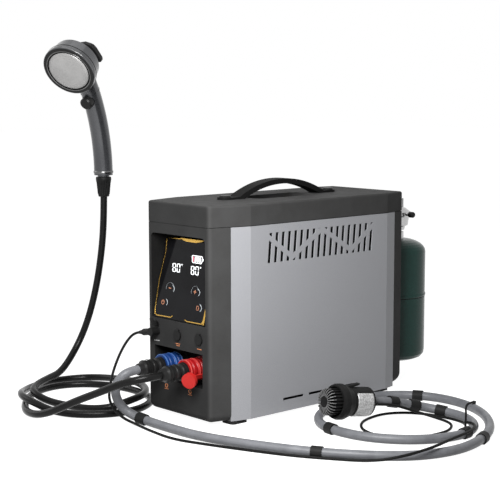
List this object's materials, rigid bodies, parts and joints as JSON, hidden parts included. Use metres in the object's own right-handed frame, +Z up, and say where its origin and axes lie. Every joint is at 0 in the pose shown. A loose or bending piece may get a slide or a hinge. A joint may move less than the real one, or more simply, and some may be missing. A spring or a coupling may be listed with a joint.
{
  "type": "portable propane water heater",
  "caption": "Portable tankless propane water heater with touch panel, quick connectors, hanging gas bottle, shower handset on a coiled hose and a submersible suction pump.",
  "frame": {"origin": "on the floor under the middle of the housing's footprint", "axes": "+Z up, -Y out of the control face, +Y toward the gas bottle, +X along the side with the suction hose"},
  "size_m": [0.6517, 0.6176, 0.5012],
  "materials": {
    "dark_sheet": "satin",
    "foot_rubber": "matte",
    "dark_housing": "fine texture",
    "silver_panel": "satin metallic",
    "black_glass": "polished",
    "gold_trim": "polished",
    "handle_rubber": "satin",
    "dark_gloss": "satin",
    "steel": "brushed",
    "cap_rubber": "matte",
    "blue_plastic": "satin",
    "red_plastic": "satin",
    "red_rubber": "satin",
    "copper": "drawn",
    "ceramic": "glazed",
    "battery_wrap": "shrink wrap",
    "brass": "machined",
    "board_green": "satin",
    "regulator_metal": "die cast, satin",
    "bottle_green": "gloss paint",
    "gunmetal": "metallic paint",
    "spray_grey": "satin",
    "black_hose": "satin",
    "grey_hose": "satin",
    "cable_black": "satin",
    "strap_black": "matte",
    "pump_plastic": "satin"
  },
  "bodies": {
    "heater": {"base_tray": "dark_sheet", "rubber_feet": "foot_rubber", "front_bezel": "dark_housing", "rear_cover": "dark_housing", "top_cover": "dark_housing", "right_side_panel": "silver_panel", "left_side_panel": "silver_panel", "control_glass": "black_glass", "control_trim": "gold_trim", "carry_handle": "handle_rubber", "handle_screw_caps": "dark_gloss", "cover_screws": "steel", "pump_socket": "dark_gloss", "port_jacks": "dark_gloss", "pump_plug": "cap_rubber", "inlet_port": "dark_gloss", "outlet_port": "dark_gloss", "inlet_coupling": "dark_gloss", "outlet_coupling": "dark_gloss", "burner_box": "steel", "gas_burner": "steel", "combustion_chamber": "copper", "heat_exchanger": "copper", "exhaust_hood": "steel", "ignition_electrode": "ceramic", "battery_pack": "battery_wrap", "gas_valve": "brass", "cold_water_pipe": "copper", "hot_water_pipe": "copper", "flow_sensor": "dark_gloss", "control_board": "board_green", "gas_inlet": "brass", "gas_pipe": "copper", "regulator_body": "regulator_metal", "hose_nut": "dark_gloss", "shower_hose_lead": "black_hose", "shower_hose_riser": "black_hose", "shower_hose_coil": "black_hose", "suction_hose": "grey_hose", "pump_cable": "cable_black", "hose_straps": "strap_black", "pump_housing": "pump_plastic", "pump_strainer": "pump_plastic", "pump_hook": "pump_plastic"},
    "handset": {"handset_body": "gunmetal", "spray_face": "spray_grey"},
    "stop_button": {"stop_button": "dark_gloss"},
    "spray_selector": {"spray_selector": "gunmetal"},
    "outlet_cap": {"outlet_cap": "red_rubber"},
    "inlet_sleeve": {"inlet_sleeve": "blue_plastic"},
    "outlet_sleeve": {"outlet_sleeve": "red_plastic"},
    "socket_cover": {"socket_cover": "cap_rubber"},
    "port_cap_middle": {"port_cap_middle": "cap_rubber"},
    "port_cap_right": {"port_cap_right": "cap_rubber"},
    "regulator_knob": {"regulator_knob": "dark_gloss"},
    "bottle_seal": {"bottle_seal": "cap_rubber"},
    "gas_bottle": {"gas_bottle": "bottle_green", "bottle_valve": "regulator_metal"},
    "pump_impeller": {"pump_impeller": "pump_plastic"}
  },
  "joints": [
    {"name": "handset_swivel", "type": "hinge", "parent": "heater", "child": "handset", "pos_m": [-0.2405, -0.1225, 0.307], "axis": [0, 0, 1], "continuous": true},
    {"name": "stop_button_press", "type": "slide", "parent": "handset", "child": "stop_button", "axis": [-0.3646, 0.7855, 0.5], "range_m": [0, 0.003], "stiffness_N_per_m": 600},
    {"name": "spray_selector_turn", "type": "hinge", "parent": "handset", "child": "spray_selector", "pos_m": [-0.19715, -0.2159, 0.47094], "axis": [0.3432, -0.7394, -0.5793], "range_deg": [-20, 20]},
    {"name": "outlet_cap_swing", "type": "hinge", "parent": "heater", "child": "outlet_cap", "pos_m": [0.024, -0.152, 0.07], "axis": [0, 1, 0], "range_deg": [-90, 90]},
    {"name": "inlet_sleeve_release", "type": "slide", "parent": "heater", "child": "inlet_sleeve", "axis": [0, 1, 0], "range_m": [0, 0.004], "stiffness_N_per_m": 800},
    {"name": "outlet_sleeve_release", "type": "slide", "parent": "heater", "child": "outlet_sleeve", "axis": [0, 1, 0], "range_m": [0, 0.004], "stiffness_N_per_m": 800},
    {"name": "socket_cover_hinge", "type": "hinge", "parent": "heater", "child": "socket_cover", "pos_m": [-0.0435, -0.1814, 0.121], "axis": [-1, 0, 0], "range_deg": [-48, 30]},
    {"name": "port_cap_middle_hinge", "type": "hinge", "parent": "heater", "child": "port_cap_middle", "pos_m": [0, -0.1814, 0.12], "axis": [-1, 0, 0], "range_deg": [0, 110]},
    {"name": "port_cap_right_hinge", "type": "hinge", "parent": "heater", "child": "port_cap_right", "pos_m": [0.0435, -0.1814, 0.12], "axis": [-1, 0, 0], "range_deg": [0, 110]},
    {"name": "regulator_knob_turn", "type": "hinge", "parent": "heater", "child": "regulator_knob", "pos_m": [0.0323, 0.239, 0.2465], "axis": [1, 0, 0], "range_deg": [0, 270]},
    {"name": "bottle_seal_travel", "type": "slide", "parent": "heater", "child": "bottle_seal", "axis": [0, 0, -1], "range_m": [0, 0.0039]},
    {"name": "bottle_turn", "type": "hinge", "parent": "bottle_seal", "child": "gas_bottle", "pos_m": [0, 0.239, 0.222], "axis": [0, 0, -1], "range_deg": [0, 1080]},
    {"name": "impeller_spin", "type": "hinge", "parent": "heater", "child": "pump_impeller", "pos_m": [0.178, -0.059, 0.036], "axis": [0.1466, 0.9812, -0.1253], "continuous": true}
  ],
  "couplings": [
    {"joint": "bottle_seal_travel", "follows": "bottle_turn", "m_per_rad": 0.00020213}
  ]
}
